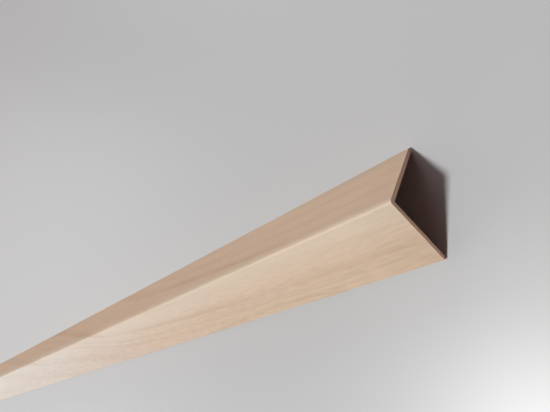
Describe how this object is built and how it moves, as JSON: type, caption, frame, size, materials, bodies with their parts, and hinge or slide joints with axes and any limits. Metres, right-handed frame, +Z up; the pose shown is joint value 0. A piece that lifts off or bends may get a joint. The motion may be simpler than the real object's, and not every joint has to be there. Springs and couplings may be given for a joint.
{
  "type": "outside corner moulding",
  "caption": "Thin-walled right-angle moulding that covers an outside corner, with pale wood-effect faces, a small rounded arris and square-cut ends.",
  "frame": {"origin": "on the surface the moulding lies on, below the arris at the middle of the length", "axes": "+X along the length towards the end that the picture shows, +Z up through the arris, so each leg runs down at 45 degrees"},
  "size_m": [0.56, 0.0352, 0.0182],
  "materials": {
    "wood_foil": "satin pale maple-effect foil on the two outer faces; the cut ends and the inner faces are bare light-brown core"
  },
  "bodies": {
    "root": {"corner_moulding": "wood_foil"}
  },
  "joints": []
}
